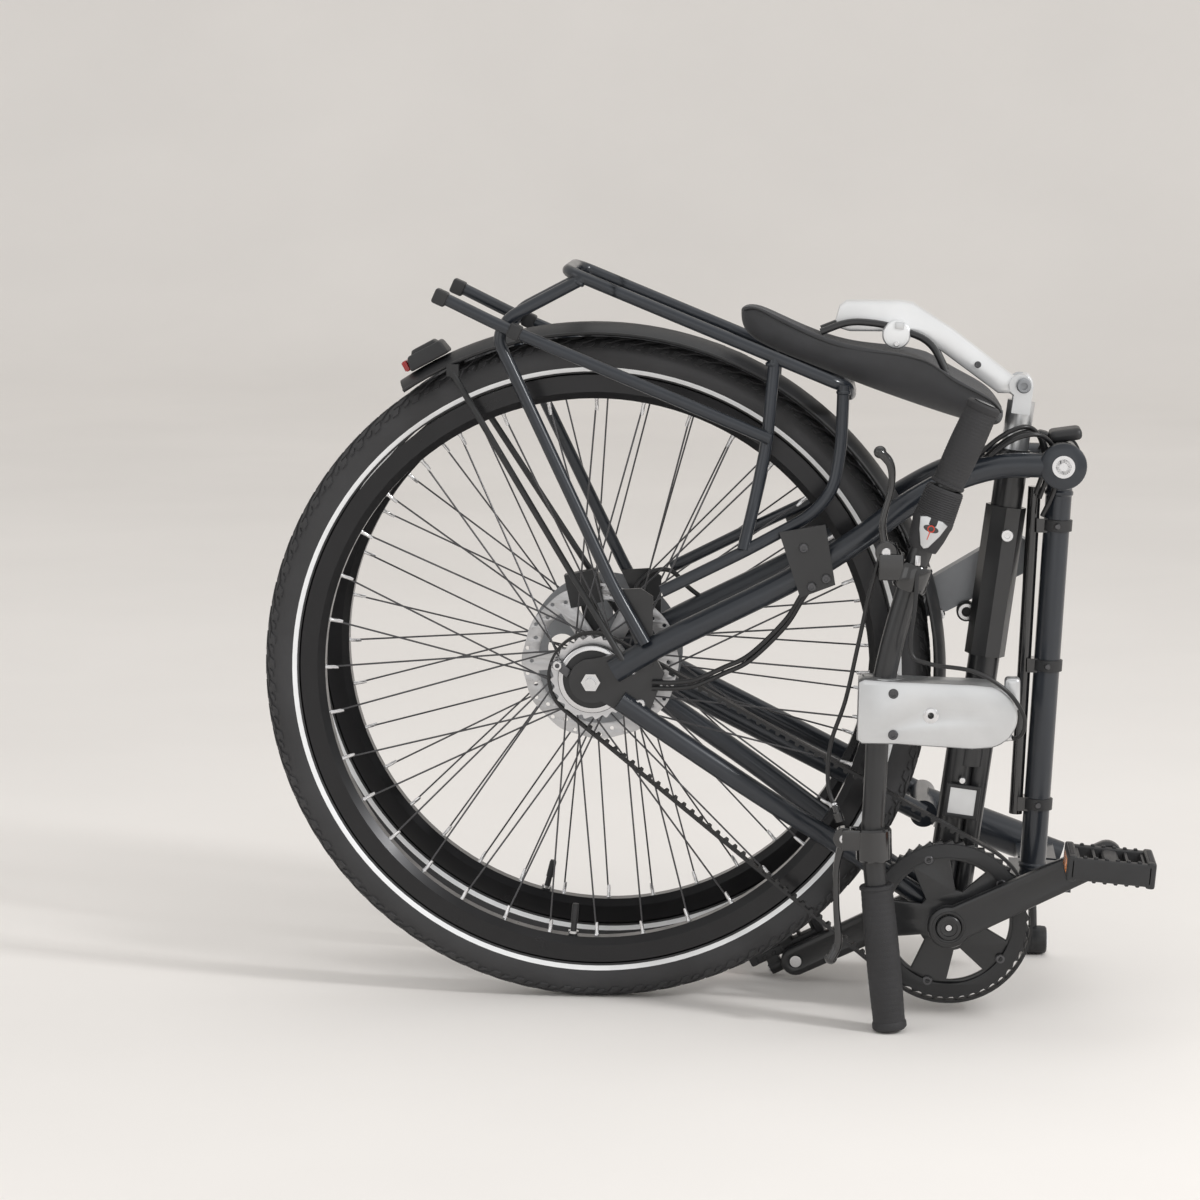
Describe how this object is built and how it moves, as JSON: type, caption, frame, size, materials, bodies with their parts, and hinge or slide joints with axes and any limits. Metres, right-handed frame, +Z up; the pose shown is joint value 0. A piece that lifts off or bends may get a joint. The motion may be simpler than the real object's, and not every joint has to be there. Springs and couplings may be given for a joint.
{
  "type": "folding bicycle",
  "caption": "Folded city bicycle with a belt drive, rear rack, fender and its handlebar stowed upright on the seat tube.",
  "frame": {"origin": "centre of the bounding box's base, on the floor that the folded bicycle stands on", "axes": "+Z up; +X towards the pedals' end of the folded bicycle; +Y towards its left side, where the front wheel is folded"},
  "size_m": [0.8841, 0.409, 0.7411],
  "materials": {
    "frame_paint": "satin",
    "black_paint": "satin",
    "satin_silver": "satin",
    "gray_paint": "satin",
    "steel": "satin",
    "chrome_steel": "polished",
    "tyre_rubber": "matte",
    "grip_rubber": "matte",
    "black_plastic": "matte",
    "gloss_black": "gloss",
    "saddle_cover": "matte",
    "lens_red": "gloss",
    "belt_rubber": "matte"
  },
  "bodies": {
    "rear_frame": {"seat_tube": "frame_paint", "chainstay_right": "frame_paint", "chainstay_left": "frame_paint", "seatstay_right": "frame_paint", "seatstay_left": "frame_paint", "hinge_eyes": "black_paint", "dropouts": "black_paint", "seat_clamp": "black_paint", "badge_plate": "chrome_steel", "rear_axle": "chrome_steel", "hub_anchor": "black_paint", "rear_rack": "frame_paint", "pannier_rails": "frame_paint", "rack_plates": "black_paint", "frame_bolts": "steel", "rear_fender": "black_plastic", "fender_stays": "black_paint", "tail_light_housing": "black_plastic", "tail_light_lens": "lens_red", "rear_brake_caliper": "black_paint", "drive_belt": "belt_rubber", "folded_wheel_latch": "gray_paint", "stem_cradle": "gray_paint", "hinge_pin": "chrome_steel", "frame_cables": "black_plastic"},
    "rear_wheel": {"rear_tyre": "tyre_rubber", "rear_rim": "black_paint", "rear_spokes": "steel", "rear_hub": "satin_silver", "rear_rotor": "steel"},
    "rear_drive": {"rear_sprocket": "satin_silver"},
    "crankset": {"chainring": "black_paint", "crank_spider": "black_paint", "crank_arm_right": "black_paint", "crank_arm_left": "black_paint", "left_pedal_stub": "chrome_steel"},
    "right_pedal": {"pedal_right": "black_plastic"},
    "left_pedal": {"pedal_left": "black_plastic"},
    "main_beam_half": {"main_beam": "frame_paint", "cable_conduit": "black_plastic", "front_hinge_pin": "chrome_steel"},
    "front_half": {"head_block": "frame_paint", "headlight": "black_plastic"},
    "front_fork": {"fork": "frame_paint", "front_axle": "chrome_steel"},
    "front_wheel": {"front_tyre": "tyre_rubber", "front_rim": "black_paint", "front_spokes": "steel", "front_hub": "satin_silver"},
    "seat_column": {"seatpost": "satin_silver"},
    "saddle_unit": {"saddle_arm": "satin_silver", "saddle_rails": "black_paint", "saddle": "saddle_cover"},
    "handlebar_unit": {"handlebar": "black_paint", "stem": "satin_silver", "grips": "grip_rubber", "lever_perches": "gloss_black"},
    "upper_lever": {"brake_lever_upper": "gloss_black"},
    "lower_lever": {"brake_lever_lower": "gloss_black"},
    "shifter": {"twist_shifter": "grip_rubber"}
  },
  "joints": [
    {"name": "rear_wheel_spin", "type": "hinge", "parent": "rear_frame", "child": "rear_wheel", "pos_m": [-0.1082, -0.0435, 0.334], "axis": [0, 1, 0], "continuous": true},
    {"name": "crank_turn", "type": "hinge", "parent": "rear_frame", "child": "crankset", "pos_m": [0.24496, -0.0435, 0.09399], "axis": [0, 1, 0], "range_deg": [-32, 38]},
    {"name": "rear_sprocket_spin", "type": "hinge", "parent": "rear_frame", "child": "rear_drive", "pos_m": [-0.1082, -0.0435, 0.334], "axis": [0, 1, 0], "range_deg": [-70, 80]},
    {"name": "pedal_right_spin", "type": "hinge", "parent": "crankset", "child": "right_pedal", "pos_m": [0.39815, -0.1435, 0.16771], "axis": [0, 1, 0], "continuous": true},
    {"name": "pedal_left_fold", "type": "hinge", "parent": "crankset", "child": "left_pedal", "pos_m": [0.09178, 0.0535, 0.02027], "axis": [-0.9011, 0, -0.4337], "range_deg": [0, 90]},
    {"name": "frame_fold", "type": "hinge", "parent": "rear_frame", "child": "main_beam_half", "pos_m": [0.3508, -0.0435, 0.548], "axis": [0, -1, 0], "range_deg": [0, 74]},
    {"name": "front_swing", "type": "hinge", "parent": "main_beam_half", "child": "front_half", "pos_m": [0.3368, 0.0465, 0.108], "axis": [-0.9984, 0, 0.0558], "range_deg": [0, 180]},
    {"name": "steering", "type": "hinge", "parent": "front_half", "child": "front_fork", "pos_m": [0.2398, 0.1365, 0.16], "axis": [0.9382, 0, -0.3461], "range_deg": [-6, 6]},
    {"name": "front_wheel_spin", "type": "hinge", "parent": "front_fork", "child": "front_wheel", "pos_m": [-0.1082, 0.1365, 0.334], "axis": [0, 1, 0], "continuous": true},
    {"name": "seatpost_slide", "type": "slide", "parent": "rear_frame", "child": "seat_column", "axis": [0.1288, 0, 0.9917], "range_m": [0, 0.18]},
    {"name": "saddle_flip", "type": "hinge", "parent": "seat_column", "child": "saddle_unit", "pos_m": [0.3098, -0.0435, 0.623], "axis": [0, 1, 0], "range_deg": [0, 175]},
    {"name": "handlebar_lift_off", "type": "slide", "parent": "rear_frame", "child": "handlebar_unit", "axis": [0, -1, 0], "range_m": [0, 0.25]},
    {"name": "upper_lever_pull", "type": "hinge", "parent": "handlebar_unit", "child": "upper_lever", "pos_m": [0.1798, -0.1715, 0.472], "axis": [0, 1, 0], "range_deg": [0, 14]},
    {"name": "lower_lever_pull", "type": "hinge", "parent": "handlebar_unit", "child": "lower_lever", "pos_m": [0.1418, -0.1715, 0.192], "axis": [0, -1, 0], "range_deg": [0, 8]},
    {"name": "shifter_twist", "type": "hinge", "parent": "handlebar_unit", "child": "shifter", "pos_m": [0.2248, -0.1715, 0.504], "axis": [0.3494, 0, 0.937], "range_deg": [-40, 40]}
  ],
  "couplings": [
    {"joint": "rear_sprocket_spin", "follows": "crank_turn", "ratio": 1.9167},
    {"joint": "front_swing", "follows": "frame_fold", "ratio": 2.4324}
  ]
}
